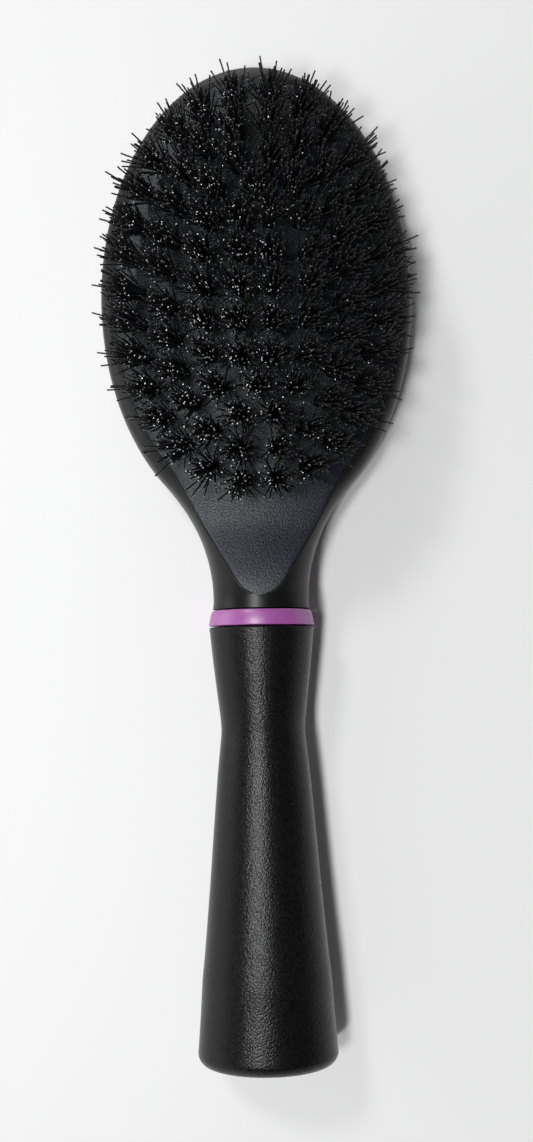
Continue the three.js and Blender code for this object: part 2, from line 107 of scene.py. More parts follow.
TUFT_RINGS = [  # name, count, half width, half length, power, phase
    ("centre", 12, 3.4, 21.4, 3.0, 0.0),
    ("inner", 18, 10.8, 28.3, 2.4, 0.5),
    ("middle", 24, 18.2, 35.2, 2.2, 0.5),
    ("outer", 30, 25.6, 42.0, 2.05, 0.5),
]
TUFT_FIELD_Y = 60.5
TUFT_FREE_LENGTH = 15.5
TUFT_SET_DEPTH = 3.0
HOLE_RADIUS = 1.45
HOLE_DEPTH = 3.6
HOLE_CHAMFER = 0.2
SIDE_LEAN_PER_MM = math.radians(0.58)  # outwards from the middle line
HANDLE_LEAN = math.radians(6.5)        # at HEAD_Y, less towards the toe
HANDLE_LEAN_PER_MM = math.radians(-0.03)

BRISTLES_PER_TUFT = 62
BRISTLE_RADIUS = 0.18
BRISTLE_SIDES = 5
TUFT_ROOT_RADIUS = 1.25
TUFT_TIP_RADIUS = 3.25
TIP_CROWDING = 0.75             # under 1, the tips are denser in the middle of the tuft
FAN_POWER = 1.15                # over 1, the fan opens more towards the tips
SPLAY_FROM = 0.7                # outer bristles, from this share of the radius, may splay
SPLAY_CHANCE = 0.5
SPLAY_REACH = (1.2, 1.85)       # times the reach of the other bristles
TURN_SPREAD = 0.12              # radians; each spread is a standard deviation
REACH_SPREAD = 0.1              # of the reach
TIP_SPREAD = 0.35               # mm
BOW_SPREAD = 0.1                # mm, half way up
CUT_SPREAD = 0.1                # slope of the cut end
LENGTH_RANGE = (-1.1, 0.5)      # mm over TUFT_FREE_LENGTH
CROWN_DROP = 0.02               # mm of length lost per mm squared of reach
BEVEL_HEIGHT = 0.3              # of the bristle's radius
BEVEL_RADIUS = 0.82             # of the bristle's radius, at its cut end

STAPLE_PATH = [(-1.2, 0.55), (-1.15, 0.0), (0.0, -0.12), (1.15, 0.0), (1.2, 0.55)]
STAPLE_SECTION = [(0.2, 0.09), (-0.2, 0.09), (-0.2, -0.09), (0.2, -0.09)]
STAPLE_LIFT = 0.35              # over the bottom of the hole
STAPLE_TURN = 0.5               # radians from one tuft to the next

COLLAR_SLANT = 0.084            # sections lean, with the upper side nearer the toe
END_SLANT = 0.16                # of the grip's end
SLANT_FADE = 3.0                # length of neck over which the lean fades out
COLLAR_FRONT = (NECK_END_Y - GAP, 11.0, 10.1)  # y, half width, half height
COLLAR_BACK = (-13.3, 11.75, 10.6)
COLLAR_EDGE_RADIUS = 0.25
COLLAR_BULGE = 0.1
GRIP_START_Y = COLLAR_BACK[0] - GAP
GRIP_STATIONS = [  # y, half width, half height, height of the underside
    (GRIP_START_Y, 11.65, 10.5, 0.5),
    (-21.5, 10.9, 9.8, 1.1),
    (-29.5, 10.0, 9.0, 1.8),
    (-34.5, 9.45, 8.7, 2.0),
    (-37.0, 9.37, 8.6, 2.0),
    (-39.5, 9.6, 8.7, 1.95),
    (-45.5, 10.25, 9.0, 1.8),
    (-54.5, 11.05, 9.5, 1.4),
    (-69.5, 12.3, 10.5, 0.5),
    (-85.5, 13.75, 11.6, -0.3),
    (-91.5, 14.4, 12.0, -0.6),
    (-97.5, 14.8, 12.2, -0.8),
    (-107.5, 15.55, 12.6, -0.9),
]
GRIP_LIP_RADIUS = 0.4
END_RADIUS = 2.8
END_CROWN = 1.5
SLEEVE_WALL = 2.2
CORE_END_Y = END_Y + SLEEVE_WALL + GAP
TANG_ROOT = (-8.1, 6.4, 5.6)    # y, half width, half height
TANG_TIP = (-45.5, 4.3, 3.7)

# ---------------------------------------------------------------- fineness of the meshes

HEAD_HEEL_RINGS = 110
HEAD_TOE_RINGS = 60
HEAD_TOE_ANGLE = 88.5           # degrees round the head's oval to the last ring
HEAD_QUARTER_STEPS = 30
EDGE_CROWDING = 1.9             # over 1, points gather at the head's edge
SHELL_OUTLINE_POINTS = 240
FACE_OUTLINE_POINTS = 300
FACE_ARC_POINTS = 120
FACE_V_POINTS = 80
FACE_RINGS = 33
TUFT_RING_POINTS = 720
OVAL_STEPS = 96
GRIP_RINGS = 110
SLEEVE_BORE_RINGS = 40
POST_SIDES = 24                 # of the bosses and the pegs
BOSS_HOLE_SIDES = 20
TUFT_HOLE_SIDES = 16
LIP_SIDES = 12
SHARP_DEGREES = 35.0            # edges sharper than this aren't shaded smooth
SHELL_SHARP_DEGREES = 32.0
PLATE_SHARP_DEGREES = 40.0

# ---------------------------------------------------------------- camera and lights, in mm

IMAGE_HEIGHT = 1142
MM_PER_PIXEL = 0.226            # at VIEW_PLANE_Z, the height of the brush's widest lines
VIEW_PLANE_Z = 8.0
CAMERA_DISTANCE = 240.0
CAMERA_X = 1.3
CAMERA_Y = -1.1
CAMERA_ROLL = math.radians(0.94)
LIGHTS = [  # name, place, size, power in watts
    ("key_above", (-145.0, -1.0, 600.0), 95.0, 1.4),
    ("key_handle_side", (-145.0, -190.0, 600.0), 80.0, 1.35),
    ("key_head_side", (-300.0, 440.0, 560.0), 130.0, 1.2),
    ("fill_left", (-560.0, 90.0, 90.0), 300.0, 0.28),
    ("fill_toe", (-60.0, 520.0, 130.0), 260.0, 0.32),
]
FLOOR_HALF_SIZE = 3000.0


# ---------------------------------------------------------------- small maths

def lerp(a, b, t):
    return a + (b - a) * t


def smooth(t):
    t = np.clip(t, 0.0, 1.0)
    return t * t * (3.0 - 2.0 * t)


def leg(t):
    """The other leg of a right triangle with hypotenuse 1."""
    return np.sqrt(np.maximum(0.0, 1.0 - np.square(t)))


def along_rows(rows, key):
    """Smooth interpolation through rows of (key, value, ...) with rising or falling keys."""
    falling = rows[0][0] > rows[-1][0]
    i = 0
    while i < len(rows) - 2 and (key <= rows[i + 1][0] if falling else key >= rows[i + 1][0]):
        i += 1
    a, b = rows[i], rows[i + 1]
    before, after = rows[max(0, i - 1)], rows[min(len(rows) - 1, i + 2)]
    span = b[0] - a[0]
    t = (key - a[0]) / span
    values = []
    for column in range(1, len(a)):
        start = (b[column] - before[column]) / (b[0] - before[0]) * span
        end = (after[column] - a[column]) / (after[0] - a[0]) * span
        rise = b[column] - a[column]
        cubic = start + end - 2 * rise
        square = 3 * rise - 2 * start - end
        values.append(a[column] + t * (start + t * (square + t * cubic)))
    return values


# ---------------------------------------------------------------- outlines and heights

def head_half_width(y):
    """Half width of the shell: the head's oval, the neck, and the curve between them."""
    if y >= HEEL_Y:
        return HEAD_HALF_WIDTH * float(leg((y - HEAD_Y) / HEAD_HALF_LENGTH))
    if y <= NECK_Y:
        return NECK_HALF_WIDTH + NECK_FLARE * (NECK_Y - y) ** 2
    span = HEEL_Y - NECK_Y
    t = (y - NECK_Y) / span
    along = (HEAD_Y - HEEL_Y) / HEAD_HALF_LENGTH
    heel_width = HEAD_HALF_WIDTH * float(leg(along))
    heel_slope = HEAD_HALF_WIDTH / HEAD_HALF_LENGTH * along / float(leg(along))
    return lerp(NECK_HALF_WIDTH, heel_width, float(smooth(t))) + heel_slope * span * (t**3 - t**2)


def face_half_width(y):
    """Half width of the face plate: its oval, and the V down the neck."""
    if y >= FACE_HEEL_Y:
        return FACE_HALF_WIDTH * float(leg((y - HEAD_Y) / FACE_HALF_LENGTH))
    rows = [(FACE_HEEL_Y, face_half_width(FACE_HEEL_Y))]
    rows += [(row_y, x) for x, row_y in FACE_V] + [(FACE_TIP_Y, 0.0)]
    return max(0.0, along_rows(rows, max(y, FACE_TIP_Y))[0])


def field_height(x, y):
    """The crowned and canted face that the tufts stand on."""
    out = y - HEAD_Y
    middle = FACE_MID_Z - FACE_CANT * out - np.square(out) / (2 * FACE_BEND_RADIUS)
    return middle - np.square(x) / (2 * FACE_CROWN_RADIUS)


def face_height(x, y):
    """The face plate's top: the field, and the scoop up to the neck's top."""
    scoop = smooth((SCOOP_FOOT_Y - y) / (SCOOP_FOOT_Y - SCOOP_TOP_Y))
    neck_top = SCOOP_TOP_Z - np.square(x) / (2 * FACE_CROWN_RADIUS)
    return lerp(field_height(x, np.maximum(y, SCOOP_FOOT_Y)), neck_top, scoop)


def neck_to_head(y):
    """0 on the neck, 1 on the head."""
    return float(smooth((y - BLEND_START_Y) / (BLEND_END_Y - BLEND_START_Y)))


def edge_height(y):
    """Height of the shell's widest line, where its upper half meets its back."""
    return lerp(NECK_AXIS_Z, HEAD_EDGE_Z, neck_to_head(y))


def pillow(ratio, power):
    """Height of a superellipse with radius 1 at a share of its half width."""
    return max(0.0, 1.0 - ratio**power) ** (1.0 / power)


def out_ratio(across, y):
    """How far out a point is, up to 1 on the outline: across, and past HEAD_Y along it as well."""
    along = max(0.0, (y - HEAD_Y) / HEAD_HALF_LENGTH)
    return min(1.0, math.hypot(along, across * float(leg(along))))


def top_rise(y):
    """The rise of the section's upper half that brings it through the face plate's edge."""
    edge_y = min(y, HEAD_Y + FACE_HALF_LENGTH)
    if edge_y <= FACE_TIP_Y:
        return NECK_TOP_RISE
    x = face_half_width(edge_y)
    ratio = out_ratio(x / head_half_width(edge_y), edge_y)
    power = lerp(ELLIPSE_POWER, RIM_POWER, neck_to_head(edge_y))
    return (float(face_height(x, edge_y)) - edge_height(edge_y)) / pillow(ratio, power)


def top_height(ratio, y):
    """Height of the shell's upper half, from how far out a point is."""
    power = lerp(ELLIPSE_POWER, RIM_POWER, neck_to_head(y))
    return edge_height(y) + top_rise(y) * pillow(ratio, power)


def back_height(across, y):
    """Height of the shell's back, from a share of the half width."""
    share = neck_to_head(y)
    depth = lerp(NECK_BACK_DEPTH, HEAD_BACK_DEPTH, share)
    power = lerp(ELLIPSE_POWER, BACK_POWER, share)
    return edge_height(y) - depth * pillow(out_ratio(across, y), power)


# ---------------------------------------------------------------- mesh helpers

def new_object(name, vertices, faces, sharp_degrees=SHARP_DEGREES):
    """A smooth-shaded mesh object from points in mm."""
    mesh = bpy.data.meshes.new(name)
    mesh.from_pydata((np.asarray(vertices, float) * MM).tolist(), [], faces)
    mesh.validate()
    piece = bpy.data.objects.new(name, mesh)
    bpy.context.scene.collection.objects.link(piece)
    finish_normals(piece, sharp_degrees)
    return piece


def finish_normals(piece, sharp_degrees):
    """Smooth shading, but for edges sharper than an angle; with 0 no edge is sharp."""
    mesh = piece.data
    mesh.shade_smooth()
    if sharp_degrees:
        mesh.set_sharp_from_angle(angle=math.radians(sharp_degrees))


def signed_volume(vertices, faces):
    """Six times the volume inside the faces, below zero if they face inwards."""
    points = np.asarray(vertices, float)
    total = 0.0
    for face in faces:
        for k in range(1, len(face) - 1):
            a, b, c = points[face[0]], points[face[k]], points[face[k + 1]]
            total += float(np.dot(a, np.cross(b, c)))
    return total


def loft_data(rings, start_pole, end_pole):
    """Vertices and outward faces of a skin over equal rings, closed by a fan at each end."""
    count = len(rings[0])
    vertices = [tuple(point) for ring in rings for point in ring]
    start = len(vertices)
    end = start + 1
    vertices += [tuple(start_pole), tuple(end_pole)]
    last = (len(rings) - 1) * count
    faces = []
    for i in range(count):
        j = (i + 1) % count
        for k in range(len(rings) - 1):
            low = k * count
            faces.append((low + i, low + j, low + count + j, low + count + i))
        faces.append((start, j, i))
        faces.append((end, last + i, last + j))
    if signed_volume(vertices, faces) < 0:
        faces = [tuple(reversed(face)) for face in faces]
    return vertices, faces


def loft(name, rings, start_pole, end_pole):
    return new_object(name, *loft_data(rings, start_pole, end_pole))


def slab(name, outline, shares, top_at, bottom_at, edge_radius=0.0):
    """A body between two height fields over an outline that FACE_CENTRE can see all round."""
    outline = np.asarray(outline, float)
    centre = np.asarray(FACE_CENTRE)

    def layer(height_at, insets):
        rings = []
        for share in shares:
            points = centre + (grown(outline, -insets[0]) - centre) * share
            rings.append(with_height(points, height_at(points[:, 0], points[:, 1])))
        for inset in insets[1:]:
            points = grown(outline, -inset)
            height = height_at(points[:, 0], points[:, 1])
            drop = edge_radius - math.sqrt(max(0.0, edge_radius**2 - (edge_radius - inset) ** 2))
            rings.append(with_height(points, height - drop))
        return rings

    top_insets = [0.0]
    if edge_radius:
        turns = [0.0, 0.3, 0.55, 0.75, 0.9, 1.0]
        top_insets = [edge_radius * (1.0 - math.sin(turn * math.pi / 2)) for turn in turns]
    rings = layer(top_at, top_insets) + layer(bottom_at, [0.0])[::-1]
    poles = [(centre[0], centre[1], float(at(*centre))) for at in (top_at, bottom_at)]
    return loft(name, rings, poles[0], poles[1])


def with_height(points, height):
    return np.column_stack([points, np.broadcast_to(height, len(points))])


def outward(outline):
    """Unit vectors that point out of a clockwise outline, one at each point."""
    ahead = np.roll(outline, -1, axis=0) - np.roll(outline, 1, axis=0)
    ahead /= np.linalg.norm(ahead, axis=1)[:, None]
    return np.column_stack([-ahead[:, 1], ahead[:, 0]])


def grown(outline, distance):
    """The outline moved outwards by a distance, or inwards by a negative one."""
    return outline + distance * outward(outline)


def full_turn(count):
    return np.linspace(0, 2 * math.pi, count, endpoint=False)


def oval_ring(y, half_width, half_height, axis_z, slant=0.0):
    """An oval section, cut off flat at the floor, its upper side leaning towards the toe."""
    angle = full_turn(OVAL_STEPS)
    rise = np.maximum(-axis_z, half_height * np.sin(angle))
    return np.column_stack([half_width * np.cos(angle), y + slant * rise, axis_z + rise])


def oval_bar(name, rows):
    """A bar of oval sections, from rows of y, half width, half height and axis height."""
    rings = [oval_ring(*row) for row in rows]
    return loft(name, rings, (0, rows[0][0], rows[0][3]), (0, rows[-1][0], rows[-1][3]))


def square_axes(direction):
    """Two unit vectors square to a direction and to each other."""
    side = np.cross((0.0, 1.0, 0.0), direction)
    side /= np.linalg.norm(side)
    return side, np.cross(direction, side)


def bar_data(start, direction, rows, sides):
    """A round bar from a point along a direction, through rows of distance and radius."""
    start = np.asarray(start, float)
    direction = np.asarray(direction, float)
    side, other = square_axes(direction)
    angle = full_turn(sides)
    circle = np.outer(np.cos(angle), side) + np.outer(np.sin(angle), other)
    rings = [start + direction * distance + circle * radius for distance, radius in rows]
    return loft_data(rings, start + direction * rows[0][0], start + direction * rows[-1][0])


def edge_round(radius, turns):
    """Pairs of inset and set-back at turns of a quarter circle, from (radius, 0) to (0, radius)."""
    return [(radius * (1 - math.sin(turn)), radius * (1 - math.cos(turn))) for turn in turns]


def joined(parts):
    """One vertex and face list from several."""
    vertices, faces = [], []
    for part_vertices, part_faces in parts:
        base = len(vertices)
        vertices += list(part_vertices)
        faces += [tuple(base + index for index in face) for face in part_faces]
    return vertices, faces


def boolean(piece, operation, cutter):
    """Cuts or joins, applies the result and removes the cutter."""
    modifier = piece.modifiers.new("boolean", "BOOLEAN")
    modifier.operation = operation
    modifier.solver = "MANIFOLD"
    modifier.object = cutter
    depsgraph = bpy.context.evaluated_depsgraph_get()
    result = bpy.data.meshes.new_from_object(piece.evaluated_get(depsgraph))
    piece.modifiers.clear()
    old = piece.data
    piece.data = result
    bpy.data.meshes.remove(old)
    bpy.data.objects.remove(cutter)


def evenly_spaced(points, count, phase=0.0):
    """Points at equal steps along a closed outline, the first a share of a step from its start."""
    steps = np.linalg.norm(np.roll(points, -1, axis=0) - points, axis=1)
    length = np.concatenate([[0.0], np.cumsum(steps)])
    closed = np.vstack([points, points[:1]])
    at = (np.arange(count) + phase) / count * length[-1]
    return np.column_stack([np.interp(at, length, closed[:, k]) for k in range(2)])


# ---------------------------------------------------------------- head

def face_outline(count):
    """The face plate's outline, clockwise from the toe."""
    start = math.asin((FACE_HEEL_Y - HEAD_Y) / FACE_HALF_LENGTH)
    right = []
    for angle in np.linspace(math.pi / 2, start, FACE_ARC_POINTS):
        right.append((FACE_HALF_WIDTH * math.cos(angle), HEAD_Y + FACE_HALF_LENGTH * math.sin(angle)))
    for y in np.linspace(FACE_HEEL_Y, FACE_TIP_Y, FACE_V_POINTS)[1:]:
        right.append((face_half_width(y), y))
    left = [(-x, y) for x, y in right[-2:0:-1]]
    return evenly_spaced(np.array(right + left), count)


def head_section(y):
    """A section of the head or neck, from its right edge over the top to the left and back below."""
    half_width = head_half_width(y)
    edge_z = edge_height(y)
    crowding = lerp(1.0, EDGE_CROWDING, neck_to_head(y))
    slant = COLLAR_SLANT * (1 - float(smooth((y - NECK_END_Y) / SLANT_FADE)))
    ring = []
    for i in range(4 * HEAD_QUARTER_STEPS):
        quarter, step = divmod(i, HEAD_QUARTER_STEPS)
        from_edge = step / HEAD_QUARTER_STEPS
        if quarter in (1, 3):
            from_edge = 1 - from_edge
        across = math.cos(math.pi / 2 * from_edge**crowding)
        side = -1 if quarter in (1, 2) else 1
        if from_edge == 0:
            height = edge_z
        elif quarter < 2:
            height = top_height(out_ratio(across, y), y)
        else:
            height = back_height(across, y)
        ring.append((side * across * half_width, y + slant * (height - edge_z), height))
    return ring


def head_outer():
    stations = list(np.linspace(NECK_END_Y, HEAD_Y, HEAD_HEEL_RINGS, endpoint=False))
    for angle in np.linspace(0, HEAD_TOE_ANGLE, HEAD_TOE_RINGS):
        stations.append(HEAD_Y + HEAD_HALF_LENGTH * math.sin(math.radians(angle)))
    rings = [head_section(y) for y in stations]
    return loft("head_shell_outer", rings, (0, NECK_END_Y, NECK_AXIS_Z), (0, TOE_Y, HEAD_EDGE_Z))


def plate_underside(x, y):
    return field_height(x, y) - PLATE_THICKNESS


def pocket_floor(x, y):
    return plate_underside(x, y) - GAP


def pocket_mouth(_x, _y):
    """The cut for the pocket is open upwards."""
    return CUT_TOP_Z


def cavity_top(x, y):
    return pocket_floor(x, y) + CUT_OVERLAP


def cavity_floor(x, y):
    x, y = np.atleast_1d(x), np.atleast_1d(y)
    heights = [back_height(min(1.0, abs(a) / head_half_width(b)), b) for a, b in zip(x, y)]
    return np.array(heights) + SHELL_WALL


def boss(x, y):
    """A post on the cavity's floor with a blind hole for one of the plate's pegs."""
    top = float(plate_underside(x, y)) - BOSS_DROP
    floor = float(cavity_floor(x, y)[0]) - CUT_OVERLAP
    post_rows = [(0, BOSS_RADIUS), (top - floor, BOSS_RADIUS)]
    hole_rows = [(-PEG_DEPTH - GAP, PEG_RADIUS + GAP), (CUT_OVERLAP, PEG_RADIUS + GAP)]
    post = new_object("boss", *bar_data((x, y, floor), UP, post_rows, POST_SIDES))
    hole = new_object("boss_hole", *bar_data((x, y, top), UP, hole_rows, BOSS_HOLE_SIDES))
    boolean(post, "DIFFERENCE", hole)
    return post


def shell_top(x, y):
    """Height of the shell's upper half over a point."""
    edge_y = min(y, TOE_Y - TOE_MARGIN)
    across = min(1.0, abs(x) / head_half_width(edge_y))
    return top_height(out_ratio(across, edge_y), edge_y)


def face_lip():
    """A thin polished bead that stands just proud of the shell's edge round the face plate."""
    outline = grown(face_outline(FACE_OUTLINE_POINTS), SEAM + LIP_RADIUS * LIP_OFFSET)
    heights = [shell_top(x, y) - LIP_RADIUS + LIP_RISE for x, y in outline]
    rings = []
    for (x, y), height, (out_x, out_y) in zip(outline, heights, outward(outline)):
        ring = []
        for angle in full_turn(LIP_SIDES):
            along = LIP_RADIUS * math.cos(angle)
            ring.append((x + out_x * along, y + out_y * along, height + LIP_RADIUS * math.sin(angle)))
        rings.append(ring)
    return ring_data(rings)


def join_objects(piece, other):
    """Adds another object's mesh to a piece as it is, without a boolean."""
    bpy.ops.object.select_all(action="DESELECT")
    other.select_set(True)
    piece.select_set(True)
    bpy.context.view_layer.objects.active = piece
    bpy.ops.object.join()


def make_head_shell():
    outline = face_outline(SHELL_OUTLINE_POINTS)
    centre = np.array(FACE_CENTRE)
    cavity_outline = centre + (outline - centre) * CAVITY_SCALE
    pocket_shares = [0.25, 0.5, 0.75, 1.0]
    cavity_shares = [0.2, 0.4, 0.6, 0.8, 1.0]
    tang = oval_bar("tang", [(*TANG_ROOT, NECK_AXIS_Z), (*TANG_TIP, NECK_AXIS_Z)])
    pocket = slab("pocket", grown(outline, SEAM), pocket_shares, pocket_mouth, pocket_floor)
    cavity = slab("cavity", cavity_outline, cavity_shares, cavity_top, cavity_floor)
    shell = head_outer()
    boolean(shell, "UNION", tang)
    boolean(shell, "DIFFERENCE", pocket)
    boolean(shell, "DIFFERENCE", cavity)
    for x, y in PEG_SITES:
        boolean(shell, "UNION", boss(x, y))
    shell.name = "head_shell_moulding"
    join_objects(shell, new_object("face_lip", *face_lip()))
    finish_normals(shell, SHELL_SHARP_DEGREES)
    return shell


def make_face_plate(tufts):
    outline = face_outline(FACE_OUTLINE_POINTS)
    shares = list(np.linspace(0.0, 1.0, FACE_RINGS + 1)[1:])
    name = "face_plate_textured"
    plate = slab(name, outline, shares, face_height, plate_underside, PLATE_EDGE_RADIUS)
    peg_rows = [(-PEG_DEPTH - BOSS_DROP, PEG_RADIUS), (CUT_OVERLAP, PEG_RADIUS)]
    for x, y in PEG_SITES:
        under = float(plate_underside(x, y))
        peg = new_object("peg", *bar_data((x, y, under), UP, peg_rows, POST_SIDES))
        boolean(plate, "UNION", peg)
    wide = HOLE_RADIUS + HOLE_CHAMFER
    hole_rows = [(-HOLE_DEPTH, HOLE_RADIUS), (-0.15, HOLE_RADIUS), (0.1, wide), (2, wide)]
    holes = [bar_data(tuft["root"], tuft["direction"], hole_rows, TUFT_HOLE_SIDES) for tuft in tufts]
    boolean(plate, "DIFFERENCE", new_object("tuft_holes", *joined(holes)))
    finish_normals(plate, PLATE_SHARP_DEGREES)
    return plate


# ---------------------------------------------------------------- tufts

def ring_places(count, half_width, half_length, power, phase):
    """The places of a ring's tufts, evenly spaced along a superellipse."""
    angle = full_turn(TUFT_RING_POINTS)
    sine = np.sin(angle)
    cosine = np.cos(angle)
    x = half_width * np.sign(sine) * np.abs(sine) ** (2 / power)
    y = TUFT_FIELD_Y + half_length * np.sign(cosine) * np.abs(cosine) ** (2 / power)
    return evenly_spaced(np.column_stack([x, y]), count, phase)


def make_tuft_axis(x, y):
    """Where a tuft stands on the face, and the way it leans."""
    root = np.array([x, y, float(face_height(x, y))])
    handle_lean = HANDLE_LEAN + (y - HEAD_Y) * HANDLE_LEAN_PER_MM
    direction = np.array([math.tan(x * SIDE_LEAN_PER_MM), -math.tan(handle_lean), 1.0])
    return {"root": root, "direction": direction / np.linalg.norm(direction)}


def tuft_bristles(tuft, rng):
    """The bristles of one tuft: a packed bundle at the root that fans out to a ragged crown."""
    root = tuft["root"]
    direction = tuft["direction"]
    side, other = square_axes(direction)
    count = BRISTLES_PER_TUFT
    index = np.arange(count)
    share = np.sqrt((index + 0.5) / count)
    angle = index * math.pi * (3 - math.sqrt(5)) + rng.normal(0, TURN_SPREAD, count)
    flat = np.column_stack([np.cos(angle), np.sin(angle)])
    base = flat * (TUFT_ROOT_RADIUS * share)[:, None]
    reach = TUFT_TIP_RADIUS * share**TIP_CROWDING * rng.normal(1.0, REACH_SPREAD, count)
    splayed = (share > SPLAY_FROM) & (rng.random(count) < SPLAY_CHANCE)
    reach *= np.where(splayed, rng.uniform(*SPLAY_REACH, count), 1.0)
    tip = flat * reach[:, None] + rng.normal(0, TIP_SPREAD, (count, 2)) + rng.normal(0, TIP_SPREAD, 2)
    bow = rng.normal(0, BOW_SPREAD, (count, 2))
    length = TUFT_FREE_LENGTH + rng.uniform(*LENGTH_RANGE, count) - CROWN_DROP * reach**2
    stations = np.array([-TUFT_SET_DEPTH / TUFT_FREE_LENGTH, 0.06, 0.34, 0.68, 1.0])
    above = np.maximum(0.0, stations)
    offset = base[:, None, :] + (tip - base)[:, None, :] * (above**FAN_POWER)[None, :, None]
    offset += bow[:, None, :] * (4 * above * (1 - above))[None, :, None]
    along = length[:, None] * stations[None, :]
    lines = root + along[..., None] * direction + offset[..., :1] * side + offset[..., 1:] * other
    return bristle_tubes(lines, rng.normal(0, CUT_SPREAD, (count, 1, 3)))


def bristle_tubes(lines, tip_tilt):
    """Thin tubes along lines of points, each cut off nearly square with a small bevel."""
    tangent = np.gradient(lines, axis=1)
    tangent /= np.linalg.norm(tangent, axis=2, keepdims=True)
    cut = tangent[:, -1:] + tip_tilt
    cut /= np.linalg.norm(cut, axis=2, keepdims=True)
    end = lines[:, -1:] + tangent[:, -1:] * BRISTLE_RADIUS * BEVEL_HEIGHT
    lines = np.concatenate([lines, end], axis=1)
    tangent = np.concatenate([tangent, cut], axis=1)
    radii = BRISTLE_RADIUS * np.ones(lines.shape[1])
    radii[-1] *= BEVEL_RADIUS
    side = np.cross(tangent, (0.0, 1.0, 0.0))
    side /= np.linalg.norm(side, axis=2, keepdims=True)
    other = np.cross(tangent, side)
    angle = full_turn(BRISTLE_SIDES)[:, None]
    circle = side[:, :, None] * np.cos(angle) + other[:, :, None] * np.sin(angle)
    skin = lines[:, :, None] + radii[:, None, None] * circle
    points = np.concatenate([skin.reshape(len(lines), -1, 3), end], axis=1)
    one_bristle = bristle_faces(lines.shape[1])
    return joined([(bristle, one_bristle) for bristle in points])


def bristle_faces(rings):
    """Faces of one tube: its foot, its sides and a fan of triangles round the apex."""
    sides = BRISTLE_SIDES
    faces = [tuple(range(sides))]
    for k in range(rings - 1):
        for i in range(sides):
            j = (i + 1) % sides
            low = k * sides
            high = low + sides
            faces.append((low + j, low + i, high + i, high + j))
    apex = rings * sides
    last = apex - sides
    faces += [(apex, last + (i + 1) % sides, last + i) for i in range(sides)]
    return faces


def flat_cuts(piece):
    """Shades the cut ends of the bristles flat and their sides smooth."""
    polygons = piece.data.polygons
    polygons.foreach_set("use_smooth", [len(polygon.vertices) == 4 for polygon in polygons])


def staple(tuft, turn):
    """A short flat wire across the foot of a tuft hole, its ends bent up."""
    direction = tuft["direction"]
    foot = tuft["root"] - direction * (HOLE_DEPTH - STAPLE_LIFT)
    side, other = square_axes(direction)
    along = side * math.cos(turn) + other * math.sin(turn)
    across = np.cross(direction, along)
    rings = []
    for distance, rise in STAPLE_PATH:
        centre = foot + along * distance + direction * rise
        rings.append([centre + across * a + direction * b for a, b in STAPLE_SECTION])
    return loft_data(rings, np.mean(rings[0], axis=0), np.mean(rings[-1], axis=0))


# ---------------------------------------------------------------- collar and handle

def make_collar():
    """The collar, from its front edge round the outside to its back edge, and back along the bore."""
    front_y, front_width, front_height = COLLAR_FRONT
    back_y, back_width, back_height = COLLAR_BACK
    rows = []
    for inset, behind in edge_round(COLLAR_EDGE_RADIUS, np.linspace(0, math.pi / 2, 5)):
        rows.append((front_y - behind, front_width - inset, front_height - inset))
    for t in np.linspace(0.12, 0.88, 9):
        bulge = COLLAR_BULGE * math.sin(t * math.pi)
        width = lerp(front_width, back_width, t) + bulge
        rows.append((lerp(front_y, back_y, t), width, lerp(front_height, back_height, t) + bulge))
    for inset, ahead in edge_round(COLLAR_EDGE_RADIUS, np.linspace(math.pi / 2, 0, 5)):
        rows.append((back_y + ahead, back_width - inset, back_height - inset))
    rows += [(y, TANG_ROOT[1] + GAP, TANG_ROOT[2] + GAP) for y in (back_y, front_y)]
    rings = [oval_ring(y, width, height, NECK_AXIS_Z, COLLAR_SLANT) for y, width, height in rows]
    return new_object("collar_ring_purple", *ring_data(rings))


def ring_data(rings):
    """Vertices and outward faces of a closed ring-shaped body: the last ring joins the first."""
    count = len(rings[0])
    vertices = [tuple(point) for ring in rings for point in ring]
    faces = []
    for k in range(len(rings)):
        low, high = k * count, (k + 1) % len(rings) * count
        for i in range(count):
            j = (i + 1) % count
            faces.append((low + i, low + j, high + j, high + i))
    if signed_volume(vertices, faces) < 0:
        faces = [tuple(reversed(face)) for face in faces]
    return vertices, faces


def grip_section(y, inset):
    """Half width, half height, axis height and slant of the grip's section, shrunk by an inset."""
    half_width, half_height, underside = along_rows(GRIP_STATIONS, y)
    slant = lerp(COLLAR_SLANT, END_SLANT, (GRIP_START_Y - y) / (GRIP_START_Y - END_Y))
    return half_width - inset, half_height - inset, underside + half_height, slant


def grip_rows(inset, end_y, sections):
    """Rows of the grip's shape shrunk by an inset, its rounded and domed end, and the end's pole."""
    radius = END_RADIUS - inset
    flat_width, flat_height, axis_z, slant = grip_section(end_y + END_CROWN + radius, inset + radius)
    cap_y = end_y + (slant * flat_height) ** 2 / (4 * END_CROWN) + END_CROWN
    straight = np.linspace(GRIP_START_Y, cap_y + radius, sections, endpoint=False)
    rows = [(y, *grip_section(y, inset)) for y in straight]
    for turn in np.linspace(0, math.pi / 2, 14):
        out = radius * math.cos(turn)
        y = cap_y + radius * (1 - math.sin(turn))
        rows.append((y, flat_width + out, flat_height + out, axis_z, slant))
    for share in (0.85, 0.7, 0.5, 0.3, 0.15):
        y = cap_y - END_CROWN * (1 - share**2)
        rows.append((y, flat_width * share, flat_height * share, axis_z, slant))
    return rows, (0, cap_y - END_CROWN, axis_z)


